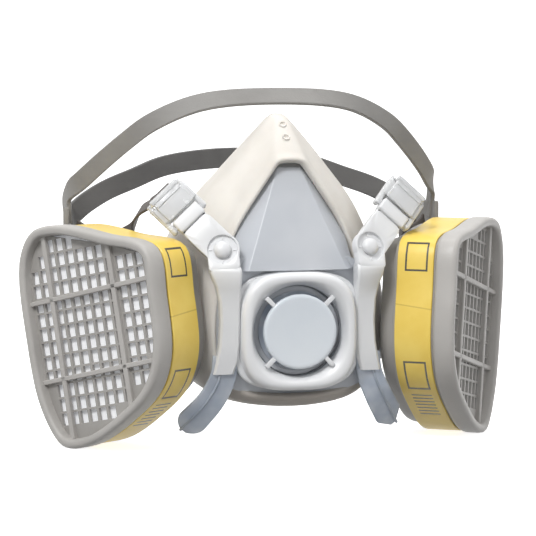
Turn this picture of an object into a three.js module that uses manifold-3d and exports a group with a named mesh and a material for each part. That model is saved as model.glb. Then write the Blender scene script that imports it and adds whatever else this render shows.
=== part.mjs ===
// A reusable half-mask respirator: soft facepiece, hard centre shell, harness yoke,
// exhalation valve, two fixed cartridges and a head harness.
// Millimetres, +Z up. The mask looks along -Y; the origin is the centre of the face seal.
import * as THREE from 'three';
import { ConvexGeometry } from 'three/addons/geometries/ConvexGeometry.js';
import { LoftGeometry } from 'three/addons/geometries/LoftGeometry.js';
import { mergeVertices } from 'three/addons/utils/BufferGeometryUtils.js';
import Module from 'manifold-3d';

const wasm = await Module();
wasm.setup();

// Driving dimensions
const gap = 0.3;                 // clearance between pieces that touch
const frontY = -60;              // front plane of the valve cover
const valveZ = -28;              // height of the exhalation valve's axis
const faceWall = 2.4;            // facepiece wall
const coverSize = 49.5;          // valve cover, side of its rounded square
const coverDepth = 6;
const coverBore = 19.6;          // radius of the cover's round opening
const discRadius = 15.7;         // centre disc of the cover
const spokeWidth = 2.5;
const panelFoot = -2.9;          // height of the nose panel's bottom edge
const panelTop = 39.2;
const yokeFront = -56;           // front plane of the yoke's arms
const yokeBack = -51.5;
const shellBack = -48.7;         // back plane of the centre shell's plate
const shellWall = 2.5;
const elbow = new THREE.Vector3(31.6, -52, 6);              // centre of the right elbow's post
const elbowAxis = new THREE.Vector3(0.25, -0.9, 0.35).normalize();
const upperArm = new THREE.Vector3(0.63, 0.43, 0.66);       // from the elbow to the buckle
const elbowRadius = 7.6;
const pocketRadius = 6.3;
const postRadius = 2.6;
const armThickness = 2.5;
const armWidth = 13.8;
const hingeAt = 19.9;            // from the elbow's post to the buckle's hinge bar
const hingeDepth = -1.3;         // the bar's axis, from the back of the upper arm
const barRadius = 1.2;
const buckleEnd = 35.6;
const buckleWidth = 19.2;
const buckleRail = 2.4;
const cartridgeTurn = THREE.MathUtils.degToRad(55);         // how far each face turns outward
const cartridgeCentre = new THREE.Vector3(86.5, -37, -31);  // centre of the right cartridge's face
const cartridgeWidth = 82;
const lipDepth = 9;
const labelDepth = 17;
const cartridgeDepth = 34;
const caseWall = 2;
const grille = { columns: 7, rows: 8, pitchX: 8.6, pitchZ: 9.6, holeX: 5.4, holeZ: 6.6, lean: 0.9 };
const portRadius = 14;
const portReach = 13;            // from the cartridge's back to the port's inner end
const portShift = -10;           // from the cartridge's centre towards its inner edge
const flapTravel = { exhale: 2, inhale: 1.5 };
const bandWidth = 8;
const bandThickness = 2;

// Colour, roughness and metalness of each material
const finish = (color, roughness) => new THREE.MeshStandardMaterial({ color, roughness, metalness: 0 });
const finishes = {
  elastomer: finish(0xe3dacf, 0.55),
  centreShell: finish(0xb9bccb, 0.4),
  whitePlastic: finish(0xf0f1f4, 0.35),
  clearPlastic: finish(0xe2e6ec, 0.25),
  casePlastic: finish(0x99958f, 0.5),
  label: finish(0xf1cf57, 0.45),
  filterPad: finish(0xf6f7f8, 0.95),
  sorbent: finish(0x2e2c2a, 0.95),
  flapRubber: finish(0xc9d6e2, 0.4),
  harness: finish(0x8b8884, 0.6),
};

// ---- solids -------------------------------------------------------------------------

// The same mesh with its positions only, so that vertices in one place become one
function weld(geometry) {
  const bare = new THREE.BufferGeometry();
  bare.setAttribute('position', geometry.attributes.position);
  bare.setIndex(geometry.index);
  return mergeVertices(bare, 1e-4);
}

function solid(geometry) {
  const merged = weld(geometry);
  return new wasm.Manifold(new wasm.Mesh({
    numProp: 3,
    vertProperties: new Float32Array(merged.attributes.position.array),
    triVerts: new Uint32Array(merged.index.array),
  }));
}

function toGeometry(manifold) {
  const mesh = manifold.getMesh();
  const geometry = new THREE.BufferGeometry();
  geometry.setAttribute('position', new THREE.BufferAttribute(new Float32Array(mesh.vertProperties), 3));
  geometry.setIndex(new THREE.BufferAttribute(new Uint32Array(mesh.triVerts), 1));
  geometry.computeVertexNormals();
  return geometry;
}

const joined = (first, ...others) =>
  toGeometry(others.reduce((sum, next) => sum.add(solid(next)), solid(first)));
const cut = (first, ...others) =>
  toGeometry(others.reduce((rest, tool) => rest.subtract(solid(tool)), solid(first)));

// A plate drawn in X-Z, between two Y planes
function plate(shape, yFront, yBack, curveSegments = 12) {
  const depth = yBack - yFront;
  const geometry = new THREE.ExtrudeGeometry(shape, { depth, bevelEnabled: false, curveSegments });
  geometry.rotateX(Math.PI / 2);
  geometry.translate(0, yBack, 0);
  return geometry;
}

// A cylinder along Y, between two Y planes
function drum(radius, yFront, yBack, x = 0, z = 0, sides = 24) {
  const geometry = new THREE.CylinderGeometry(radius, radius, yBack - yFront, sides);
  geometry.translate(x, (yFront + yBack) / 2, z);
  return geometry;
}

// A block between two corners
function block(low, high) {
  const size = high.map((value, axis) => value - low[axis]);
  const geometry = new THREE.BoxGeometry(...size);
  geometry.translate(...high.map((value, axis) => (value + low[axis]) / 2));
  return geometry;
}

// A body of revolution about Y; profile points are [radius, y]
function turned(profile, sides = 28) {
  return new THREE.LatheGeometry(profile.map(([radius, y]) => new THREE.Vector2(radius, y)), sides);
}

function roundedSquare(size, corner) {
  const half = size / 2;
  const edge = half - corner;
  const shape = new THREE.Shape();
  shape.absarc(edge, edge, corner, 0, Math.PI / 2);
  shape.absarc(-edge, edge, corner, Math.PI / 2, Math.PI);
  shape.absarc(-edge, -edge, corner, Math.PI, Math.PI * 1.5);
  shape.absarc(edge, -edge, corner, Math.PI * 1.5, Math.PI * 2);
  shape.closePath();
  return shape;
}

// ---- facepiece ----------------------------------------------------------------------

// Half contours from the nose (x = 0) down the right side to the chin (x = 0), back to front
const facepieceContours = [
  [[0, -14, 57], [15, -8, 47], [31, 2, 28], [46, 9, 6],
    [52, 12, -14], [49, 9, -36], [33, -3, -54], [0, -10, -59]],
  [[0, -24, 61], [14.5, -20, 50], [30, -16, 27], [47, -11, 5],
    [54, -8, -14], [51, -10, -36], [35, -22, -56], [0, -28, -61]],
  [[0, -34, 54], [12, -31, 45], [24.5, -30, 26], [41, -28, 5],
    [48, -28, -14], [46, -30, -35], [36, -38, -55], [0, -42, -61.5]],
  [[0, -43, 44], [8.6, -42, 38.5], [17.3, -42, 24], [27.6, -42, 8],
    [36, -44, -14], [36, -45.5, -34], [32, -46, -54], [0, -50, -60]],
];

function mirroredRing(half, count) {
  const right = half.map((point) => new THREE.Vector3(...point));
  const left = right.slice(1, -1).reverse().map((point) => new THREE.Vector3(-point.x, point.y, point.z));
  const curve = new THREE.CatmullRomCurve3([...right, ...left], true);
  return Array.from({ length: count }, (_, index) => curve.getPoint(index / count));
}

function ringsThrough(contours, stacks, count) {
  const rows = contours.map((half) => mirroredRing(half, count));
  const columns = rows[0].map((_, index) => new THREE.CatmullRomCurve3(rows.map((row) => row[index])));
  return Array.from({ length: stacks + 1 }, (_, row) => columns.map((curve) => curve.getPoint(row / stacks)));
}

function insetRings(rings, wall) {
  const last = rings.length - 1;
  return rings.map((ring, row) => ring.map((point, index) => {
    const count = ring.length;
    const around = ring[(index + 1) % count].clone().sub(ring[(index + count - 1) % count]);
    const along = rings[Math.min(row + 1, last)][index].clone().sub(rings[Math.max(row - 1, 0)][index]);
    const normal = around.cross(along).normalize();
    return point.clone().addScaledVector(normal, wall);
  }));
}

function shellGeometry(outer, inner) {
  return new LoftGeometry([outer[0], ...inner, ...outer.slice().reverse()]);
}

function facepiece() {
  const outer = ringsThrough(facepieceContours, 8, 36);
  const shell = shellGeometry(outer, insetRings(outer, faceWall));
  const holes = [-1, 1].map((side) => alongPort(side, drum(portRadius + gap, 0, portReach + 10, 0, 0, 36)));
  return cut(shell, ...holes);
}

// ---- centre shell and exhalation valve ----------------------------------------------

// The nose panel: a sloping trapezoid with a bevelled facet on each side
function nosePanelCorners(shift) {
  const foot = panelFoot + shift;
  const top = panelTop - shift;
  const corners = [];
  for (const side of [-1, 1]) {
    corners.push([side * (20 - shift), -55 + shift, foot], [side * (4.7 - shift / 2), -42 + shift, top]);
    corners.push([side * (24.5 - shift), -49 + shift, foot], [side * (22 - shift), -45 + shift, 11]);
    corners.push([side * (5 - shift / 2), -38 + shift, top], [side * (24.5 - shift), shellBack + shift, foot]);
    corners.push([side * (22 - shift), -42.5 + shift, 11], [side * (5 - shift / 2), -36 + shift, top]);
  }
  return corners.map((corner) => new THREE.Vector3(...corner));
}

function centreShell() {
  const outline = new THREE.Shape();
  outline.moveTo(-25, 0);
  outline.bezierCurveTo(-32, -14, -34, -36, -28, -51);
  outline.quadraticCurveTo(-26, -56, 0, -57);
  outline.quadraticCurveTo(26, -56, 28, -51);
  outline.bezierCurveTo(34, -36, 32, -14, 25, 0);
  outline.closePath();
  const wall = plate(outline, yokeBack + gap, shellBack);
  const panel = new ConvexGeometry(nosePanelCorners(0));
  const hollow = new ConvexGeometry(nosePanelCorners(shellWall));
  const opening = drum(19, -70, -40, 0, valveZ, 36);
  return toGeometry(solid(panel).subtract(solid(hollow)).add(solid(wall)).subtract(solid(opening)));
}

// A ring with four arms to a bored hub
function spokedSeat(outerRadius, innerRadius, yFront, yBack, hubRadius, hubBore) {
  const ring = cut(drum(outerRadius, yFront, yBack), drum(innerRadius, yFront - 1, yBack + 1));
  const arms = [0, Math.PI / 2].map((turn) => {
    const arm = block([-innerRadius - 0.5, yFront, -1], [innerRadius + 0.5, yBack, 1]);
    return arm.rotateY(turn + Math.PI / 4);
  });
  return cut(joined(ring, ...arms, drum(hubRadius, yFront, yBack)), drum(hubBore, yFront - 1, yBack + 1));
}

function exhalationSeat() {
  return spokedSeat(19 - gap, 15, yokeBack - 0.5, shellBack, 3.4, 1.8).translate(0, 0, valveZ);
}

// A flap with its own stem; the barb behind the hub leaves room for the flap's travel
function stemmedFlap(radius, thickness, seatDepth, travel) {
  const stem = 1.4;
  const barbStart = thickness + gap + seatDepth + travel + gap;
  return turned([[0, 0], [radius, 0.25], [radius, thickness], [stem, thickness], [stem, barbStart],
    [2.3, barbStart], [stem, barbStart + 2], [0, barbStart + 2]]);
}

function exhalationFlap() {
  const seatFront = yokeBack - 0.5;
  const thickness = 0.8;
  const flap = stemmedFlap(16.6, thickness, shellBack - seatFront, flapTravel.exhale);
  return flap.translate(0, seatFront - gap - thickness, valveZ);
}

function valveCover() {
  const square = roundedSquare(coverSize, 15);
  const bore = drum(coverBore, frontY - 1, frontY + 10, 0, 0, 48);
  const ring = cut(plate(square, frontY, frontY + coverDepth), bore);
  const spokes = [0, Math.PI / 2].map((turn) => {
    const reach = coverBore + 1;
    const bar = block([-reach, frontY + 0.6, -spokeWidth / 2], [reach, frontY + 2.6, spokeWidth / 2]);
    return bar.rotateY(turn + Math.PI / 4);
  });
  const disc = drum(discRadius, frontY + 0.3, frontY + 2.6, 0, 0, 48);
  return joined(ring, ...spokes, disc).translate(0, 0, valveZ);
}

// ---- harness yoke and buckles -------------------------------------------------------

// Puts a piece drawn at the origin on the right or left elbow: local X runs along the upper
// arm, local -Y stands out of its face
function onElbow(side, geometry) {
  const up = elbowAxis.clone();
  const along = upperArm.clone().addScaledVector(up, -upperArm.dot(up)).normalize();
  const across = along.clone().cross(up.clone().negate());
  const place = new THREE.Matrix4().makeBasis(along, up.clone().negate(), across).setPosition(elbow);
  const placed = geometry.applyMatrix4(place);
  return side > 0 ? placed : mirrored(placed);
}

// The left-hand copy of a right-hand piece
function mirrored(geometry) {
  const copy = weld(geometry);
  copy.applyMatrix4(new THREE.Matrix4().makeScale(-1, 1, 1));
  const index = copy.index.array;
  for (let corner = 0; corner < index.length; corner += 3) {
    [index[corner], index[corner + 1]] = [index[corner + 1], index[corner]];
  }
  copy.computeVertexNormals();
  return copy;
}

// A flat band along a curve; each step has the centre point and the direction of its width
function ribbon(centres, widths, width, thickness, steps) {
  const path = new THREE.CatmullRomCurve3(centres.map((point) => new THREE.Vector3(...point)));
  const lean = new THREE.CatmullRomCurve3(widths.map((point) => new THREE.Vector3(...point)));
  const sections = [];
  for (let step = 0; step <= steps; step += 1) {
    const share = step / steps;
    const centre = path.getPoint(share);
    const along = path.getTangent(share);
    const across = lean.getPoint(share);
    across.addScaledVector(along, -across.dot(along)).normalize();
    const through = along.clone().cross(across);
    const corners = [[1, 1], [-1, 1], [-1, -1], [1, -1]];
    sections.push(corners.map(([a, t]) => centre.clone()
      .addScaledVector(across, a * width / 2).addScaledVector(through, t * thickness / 2)));
  }
  return new LoftGeometry(sections, { capStart: true, capEnd: true });
}

// A round bar across the upper arm
function crossBar(radius, width) {
  const bar = new THREE.CylinderGeometry(radius, radius, width, 16);
  bar.rotateX(Math.PI / 2);
  return bar.translate(hingeAt, hingeDepth, 0);
}

// The upper arm with its post pocket and the rolled end that holds the hinge bar
function upperArmPiece() {
  const half = armWidth / 2;
  const outline = new THREE.Shape();
  outline.absarc(0, 0, elbowRadius, Math.PI * 0.36, Math.PI * 1.64);
  outline.lineTo(hingeAt, -half);
  outline.lineTo(hingeAt, half);
  outline.closePath();
  const blank = joined(plate(outline, -armThickness, 1.6), crossBar(3, armWidth));
  const slit = block([16.2, -armThickness - 1, -5], [16.7, -armThickness + 0.6, 5]);
  return cut(blank, crossBar(barRadius + gap, 40), slit, drum(pocketRadius, -9, -armThickness + 1),
    drum(postRadius + gap, -9, 9, 0, 0, 20));
}

function yokeHalf(side) {
  const arm = new THREE.Shape();
  arm.moveTo(25.1, -12);
  arm.bezierCurveTo(25.1, -4, 25.1, 2, 27, 4);
  arm.quadraticCurveTo(36, 4, 37, -2);
  arm.bezierCurveTo(34, -14, 33.5, -32, 35.5, -44);
  arm.lineTo(27, -46);
  arm.quadraticCurveTo(25.1, -44, 25.1, -40);
  const inFront = onElbow(1, drum(elbowRadius + 1.6, -20, -armThickness));
  const holes = onElbow(1, drum(postRadius + gap, -20, 20, 0, 0, 20));
  const pocket = onElbow(1, drum(pocketRadius, -20, -armThickness + 1));
  const flank = cut(plate(arm, yokeFront, yokeBack), inFront, holes, pocket);
  const tail = ribbon([[31, -53.6, -40], [33, -53, -50], [39, -49, -60], [47, -40, -70]],
    [[1, 0, 0.1], [1, 0, 0.2], [0.9, 0, 0.45], [0.85, 0.2, 0.45]], 10, 1.8, 8);
  const half = joined(flank, onElbow(1, upperArmPiece()), tail);
  return side > 0 ? half : mirrored(half);
}

function yoke() {
  const blank = plate(roundedSquare(56, 16), frontY + coverDepth + gap, yokeBack).scale(1, 1, coverSize / 56);
  const ring = cut(blank, drum(20.5, -70, -40, 0, 0, 36));
  return joined(ring.translate(0, 0, valveZ), yokeHalf(1), yokeHalf(-1));
}

// Domed post that holds the yoke to the centre shell
function elbowPost(side) {
  const seat = -armThickness + 1 - gap;
  return onElbow(side, turned([[0, seat - 2.2], [2.4, seat - 1.8], [3.7, seat - 0.7], [3.7, seat],
    [postRadius, seat], [postRadius, 1.6], [0, 1.6]], 20));
}

// Clear buckle: two rails on the hinge bar, a cover panel and a strap bar under it
function buckle(side) {
  const half = buckleWidth / 2;
  const rails = [-1, 1].map((edge) => {
    const [low, high] = [edge * (half - buckleRail), edge * half].sort((a, b) => a - b);
    return block([hingeAt - 2.6, hingeDepth - 2, low], [buckleEnd, hingeDepth + 2.6, high]);
  });
  const cover = block([23.6, hingeDepth - 3, -half + 1.4], [buckleEnd, hingeDepth - 1.4, half - 1.4]);
  const strapBar = block([28, hingeDepth + 0.6, -half + 1], [30.4, hingeDepth + 2.4, half - 1]);
  return onElbow(side, joined(rails[0], rails[1], cover, strapBar, crossBar(barRadius, buckleWidth - 1)));
}

// ---- cartridges ---------------------------------------------------------------------

// Face outline: a runs outward from the inner edge, b up from the centre
const faceOutline = [[8, 39.6], [33, 44], [60, 46.7], [74, 43], [81, 30], [76.6, -5], [68.5, -32],
  [56, -46.5], [41, -45], [22, -34], [6, -19.6], [0.4, -4], [3, 20]];

function outlinePoints(side, inset) {
  const corners = faceOutline.map(([a, b]) => new THREE.Vector3(a, b, 0));
  const curve = new THREE.CatmullRomCurve3(corners, true, 'centripetal');
  const count = 44;
  return Array.from({ length: count }, (_, index) => {
    const point = curve.getPointAt(index / count);
    const tangent = curve.getTangentAt(index / count);
    const across = point.x + tangent.y * inset - cartridgeWidth / 2;
    return new THREE.Vector2(side * across, point.y - tangent.x * inset);
  });
}

const faceShape = (side, inset) => new THREE.Shape(outlinePoints(side, inset));

// A slab of the face outline; local -Y is the face
const slab = (side, inset, yFront, yBack) => plate(faceShape(side, inset), yFront, yBack);

function tray(side, inset, wall, yFront, yBack) {
  return cut(slab(side, inset, yFront, yBack), slab(side, inset + wall, yFront - 1, yBack + 1));
}

function grilleCover(side) {
  const lip = tray(side, 0, 4.2, 0, lipDepth);
  const inside = outlinePoints(side, 6.5);
  const holes = [];
  for (let column = 0; column < grille.columns; column += 1) {
    for (let row = 0; row < grille.rows; row += 1) {
      const x = side * (14 + column * grille.pitchX - cartridgeWidth / 2 + row * grille.lean);
      const z = -34 + row * grille.pitchZ;
      const corners = [[-1, -1], [1, -1], [1, 1], [-1, 1]]
        .map(([a, b]) => new THREE.Vector2(x + a * grille.holeX / 2, z + b * grille.holeZ / 2));
      if (corners.every((corner) => contains(inside, corner))) {
        holes.push(block([corners[0].x, 3, corners[0].y], [corners[2].x, 7, corners[2].y]));
      }
    }
  }
  const grid = cut(slab(side, 3.6, 4, 5.6), ...holes);
  const upright = [-12, 15].map((x) => block([x - 1.4, 2.2, -60], [x + 1.4, 4.4, 60]).rotateY(0.07));
  const level = [17, -15].map((z) => block([-60, 2.2, z - 1.2], [60, 4.4, z + 1.2]).rotateY(0.1));
  const ribs = [...upright, ...level].map((rib) => (side > 0 ? rib : mirrored(rib)));
  const ribSlab = solid(slab(side, 3.6, 2.2, 4.4));
  const crossing = ribs.reduce((sum, rib) => sum.add(solid(rib)), solid(lip)).intersect(ribSlab);
  return toGeometry(solid(lip).add(solid(grid)).add(crossing));
}

// Whether a point lies inside a polygon
function contains(polygon, point) {
  let inside = false;
  polygon.forEach((corner, index) => {
    const next = polygon[(index + 1) % polygon.length];
    const crosses = (corner.y > point.y) !== (next.y > point.y);
    if (crosses && point.x < (next.x - corner.x) * (point.y - corner.y) / (next.y - corner.y) + corner.x) {
      inside = !inside;
    }
  });
  return inside;
}

function cartridgeCase(side) {
  const outer = slab(side, 1.6, lipDepth + gap, cartridgeDepth);
  const hollow = slab(side, 1.6 + caseWall, lipDepth - 1, cartridgeDepth - caseWall);
  return cut(outer, hollow, drum(12, 20, 40, side * portShift));
}

function labelBand(side) {
  return tray(side, 0.6, 0.7, lipDepth + 1, lipDepth + labelDepth);
}

const filterPad = (side) => slab(side, 4.5, 5.6 + gap, lipDepth);
const sorbentBed = (side) => slab(side, 1.6 + caseWall + gap, lipDepth + gap, cartridgeDepth - caseWall - 1.6);
const backScrim = (side) => slab(side, 1.6 + caseWall + gap, cartridgeDepth - caseWall - 1.3,
  cartridgeDepth - caseWall - gap);

function placeCartridge(side) {
  const group = new THREE.Group();
  group.position.set(side * cartridgeCentre.x, cartridgeCentre.y, cartridgeCentre.z);
  group.rotation.z = side * cartridgeTurn;
  return group;
}

// ---- inhalation ports ---------------------------------------------------------------

// Puts a piece drawn along Y on the port's axis, with y = 0 at the cartridge's back
function alongPort(side, geometry) {
  geometry.translate(side * portShift, cartridgeDepth, 0);
  geometry.rotateZ(side * cartridgeTurn);
  geometry.translate(side * cartridgeCentre.x, cartridgeCentre.y, cartridgeCentre.z);
  return geometry;
}

function inletPort(side) {
  const tube = cut(drum(portRadius, gap, portReach), drum(portRadius - 2, -1, portReach + 1));
  const seat = spokedSeat(portRadius - 1, portRadius - 4, portReach - 6, portReach - 4, 3, 1.8);
  return alongPort(side, joined(tube, seat));
}

function inhalationFlap(side) {
  const thickness = 0.8;
  const flap = stemmedFlap(portRadius - 2.8, thickness, 2, flapTravel.inhale);
  flap.rotateX(Math.PI);
  return alongPort(side, flap.translate(0, portReach - 4 + gap + thickness, 0));
}

// ---- head harness -------------------------------------------------------------------

const jointPlateCentre = [81.8, 25, 13.4];

function jointPlate(side) {
  const blank = block([-1.3, -10, -7.5], [1.3, 10, 7.5]);
  const slots = [-3, 3].map((z) => block([-3, -8, z - 1], [3, -5.6, z + 1]));
  const shaped = cut(blank, ...slots);
  shaped.rotateZ(THREE.MathUtils.degToRad(15));
  shaped.translate(...jointPlateCentre);
  return side > 0 ? shaped : mirrored(shaped);
}

const bothSides = (half) => [...half, ...half.slice(0, -1).reverse().map(([x, y, z]) => [-x, y, z])];

function crownBand() {
  const centres = bothSides([[83, 20, 25.4], [77.5, 9, 34], [62, -4, 50], [51.8, -10, 58.2],
    [32.4, -17, 66.5], [0, -18, 69]]);
  const widths = bothSides([[0, 1, 0], [0.1, 1, 0.2], [0, 0.9, 0.5], [0, 0.7, 0.7],
    [0, 0.6, 0.8], [0, 0.6, 0.8]]);
  return ribbon(centres, widths, bandWidth, bandThickness, 36);
}

function backBand() {
  const centres = bothSides([[77.4, 36.8, 16], [72.6, 38, 20], [62, 41, 26], [48.5, 45, 31],
    [32, 50, 36.5], [0, 52, 39.5]]);
  const widths = bothSides([[0, 0, 1], [0.3, 0, 0.9], [0.3, 0.1, 0.9], [0.2, 0, 1],
    [0.1, 0, 1], [0, 0, 1]]);
  return ribbon(centres, widths, bandWidth + 1, bandThickness, 36);
}

// From the joint plate forward and through the buckle's frame
function sideStrap(side) {
  const centres = [[79.8, 20, 10.4], [76.5, 15.5, 8], [68, 7, 5], [60.5, -3, 8], [58.6, -10, 16],
    [60, -18, 24.5], [58.6, -29, 29.5], [54.7, -36.2, 30.2], [50.9, -38.8, 26.2]];
  const widths = [[0, 0, 1], [0, 0, 1], [0, 0, 1], [-0.1, 0, 1], [-0.2, 0, 1],
    [-0.5, 0, 0.8], [-0.7, 0, 0.7], [-0.744, 0.055, 0.674], [-0.744, 0.055, 0.674]];
  const strap = ribbon(centres, widths, 10, 1.4, 28);
  return side > 0 ? strap : mirrored(strap);
}

// ---- assembly -----------------------------------------------------------------------

const respirator = new THREE.Group();

function addPart(name, geometry, material, parent = respirator) {
  const mesh = new THREE.Mesh(geometry, material);
  mesh.name = name;
  parent.add(mesh);
}

addPart('facepiece', facepiece(), finishes.elastomer);
addPart('centre_shell', centreShell(), finishes.centreShell);
addPart('harness_yoke', yoke(), finishes.whitePlastic);
addPart('valve_cover', valveCover(), finishes.whitePlastic);
addPart('exhalation_seat', exhalationSeat(), finishes.centreShell);
addPart('exhalation_flap', exhalationFlap(), finishes.flapRubber);
addPart('crown_band', crownBand(), finishes.harness);
addPart('back_band', backBand(), finishes.harness);

for (const [sideName, side] of [['left', -1], ['right', 1]]) {
  addPart(`${sideName}_elbow_post`, elbowPost(side), finishes.whitePlastic);
  addPart(`${sideName}_buckle`, buckle(side), finishes.clearPlastic);
  addPart(`${sideName}_side_strap`, sideStrap(side), finishes.harness);
  addPart(`${sideName}_joint_plate`, jointPlate(side), finishes.harness);
  addPart(`${sideName}_inlet_port`, inletPort(side), finishes.centreShell);
  addPart(`${sideName}_inhalation_flap`, inhalationFlap(side), finishes.flapRubber);
  const cartridge = placeCartridge(side);
  addPart(`${sideName}_grille_cover`, grilleCover(side), finishes.casePlastic, cartridge);
  addPart(`${sideName}_filter_pad`, filterPad(side), finishes.filterPad, cartridge);
  addPart(`${sideName}_cartridge_case`, cartridgeCase(side), finishes.casePlastic, cartridge);
  addPart(`${sideName}_label_band`, labelBand(side), finishes.label, cartridge);
  addPart(`${sideName}_sorbent_bed`, sorbentBed(side), finishes.sorbent, cartridge);
  addPart(`${sideName}_back_scrim`, backScrim(side), finishes.filterPad, cartridge);
  respirator.add(cartridge);
}

export default respirator;
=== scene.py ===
import math

import bmesh
import bpy
from mathutils import Matrix, Vector
from mathutils.geometry import interpolate_bezier


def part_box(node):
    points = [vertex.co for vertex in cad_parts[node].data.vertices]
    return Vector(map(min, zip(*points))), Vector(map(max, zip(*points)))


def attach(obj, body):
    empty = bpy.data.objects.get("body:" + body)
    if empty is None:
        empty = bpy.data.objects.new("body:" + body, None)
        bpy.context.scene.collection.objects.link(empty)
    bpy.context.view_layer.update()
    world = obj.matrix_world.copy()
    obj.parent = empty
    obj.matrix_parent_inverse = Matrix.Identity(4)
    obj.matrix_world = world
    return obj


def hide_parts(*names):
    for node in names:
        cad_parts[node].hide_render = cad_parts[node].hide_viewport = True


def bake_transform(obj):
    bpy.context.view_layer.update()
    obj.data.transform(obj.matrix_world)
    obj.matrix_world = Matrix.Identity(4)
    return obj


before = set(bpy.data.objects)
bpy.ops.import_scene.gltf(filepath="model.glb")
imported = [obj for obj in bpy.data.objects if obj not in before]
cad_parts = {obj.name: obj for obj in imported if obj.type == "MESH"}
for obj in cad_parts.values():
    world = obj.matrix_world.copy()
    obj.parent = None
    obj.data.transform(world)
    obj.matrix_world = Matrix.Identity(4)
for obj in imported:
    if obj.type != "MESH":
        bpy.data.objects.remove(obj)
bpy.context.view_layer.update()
mm = 0.001
sides = {"left": -1, "right": 1}

cameraPlan = {"azimuth": -15, "elevation": 5, "distance": 1.2, "field": 0.2233, "across": -0.01375,
              "above": 0.0267}


def addCamera(plan):
    low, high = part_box("valve_cover")
    azimuth = math.radians(plan["azimuth"])
    elevation = math.radians(plan["elevation"])
    turn = Matrix.Rotation(azimuth, 3, "Z") @ Matrix.Rotation(math.pi / 2 - elevation, 3, "X")
    right, up, towards = turn.col
    aim = Vector((0, low.y, (low.z + high.z) / 2)) + right * plan["across"] + up * plan["above"]
    data = bpy.data.cameras.new("camera")
    data.lens = data.sensor_width * plan["distance"] / plan["field"]
    data.clip_end = 20
    camera = bpy.data.objects.new("camera", data)
    camera.matrix_world = Matrix.Translation(aim + towards * plan["distance"]) @ turn.to_4x4()
    bpy.context.scene.collection.objects.link(camera)
    bpy.context.scene.camera = camera


addCamera(cameraPlan)

lightPlan = {
    "key": {"at": (-0.62, -0.75, 0.95), "size": 0.32, "watts": 10.4},
    "fill": {"at": (0.9, -0.75, 0.25), "size": 0.9, "watts": 1.6},
    "top": {"at": (0.05, 0.1, 1.1), "size": 0.5, "watts": 3.4},
}
skyPlan = {"high": 0.78, "low": 0.22, "from": -0.2, "to": 0.95}


def addLights(plan):
    for name, light in plan.items():
        data = bpy.data.lights.new(name, "AREA")
        data.size = light["size"]
        data.energy = light["watts"]
        lamp = bpy.data.objects.new(name, data)
        lamp.location = light["at"]
        lamp.rotation_euler = (-Vector(light["at"])).to_track_quat("-Z", "Y").to_euler()
        bpy.context.scene.collection.objects.link(lamp)
    world = bpy.data.worlds.new("studio")
    world.use_nodes = True
    nodes, links = world.node_tree.nodes, world.node_tree.links
    direction = nodes.new("ShaderNodeTexCoord")
    split = nodes.new("ShaderNodeSeparateXYZ")
    sky = nodes.new("ShaderNodeMapRange")
    for socket, value in zip(("From Min", "From Max", "To Min", "To Max"), ("from", "to", "low", "high")):
        sky.inputs[socket].default_value = skyPlan[value]
    links.new(direction.outputs["Generated"], split.inputs[0])
    links.new(split.outputs["Z"], sky.inputs["Value"])
    nodes["Background"].inputs["Color"].default_value = (1, 1, 1, 1)
    links.new(sky.outputs["Result"], nodes["Background"].inputs["Strength"])
    bpy.context.scene.world = world
    bpy.context.scene.view_settings.view_transform = "Standard"


addLights(lightPlan)
print("camera and lights ready")


class Wire:
    # one output socket; arithmetic on wires adds Math nodes
    def __init__(self, shader, socket):
        self.shader = shader
        self.socket = socket

    def maths(self, operation, *values):
        return self.shader.node("ShaderNodeMath", {"operation": operation}, dict(enumerate(values)))

    def __add__(self, other):
        return self.maths("ADD", self, other)

    def __sub__(self, other):
        return self.maths("SUBTRACT", self, other)

    def __mul__(self, other):
        return self.maths("MULTIPLY", self, other)

    def __lt__(self, other):
        return self.maths("LESS_THAN", self, other)

    def __mod__(self, other):
        return self.maths("FLOORED_MODULO", self, other)

    def __abs__(self):
        return self.maths("ABSOLUTE", self)

    def larger(self, other):
        return self.maths("MAXIMUM", self, other)

    __radd__ = __add__


def tint(red, green, blue):
    # a colour as seen on a screen, 0 to 255, made linear
    def linear(value):
        share = value / 255
        return share / 12.92 if share <= 0.04045 else ((share + 0.055) / 1.055) ** 2.4
    return (linear(red), linear(green), linear(blue), 1)


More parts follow.
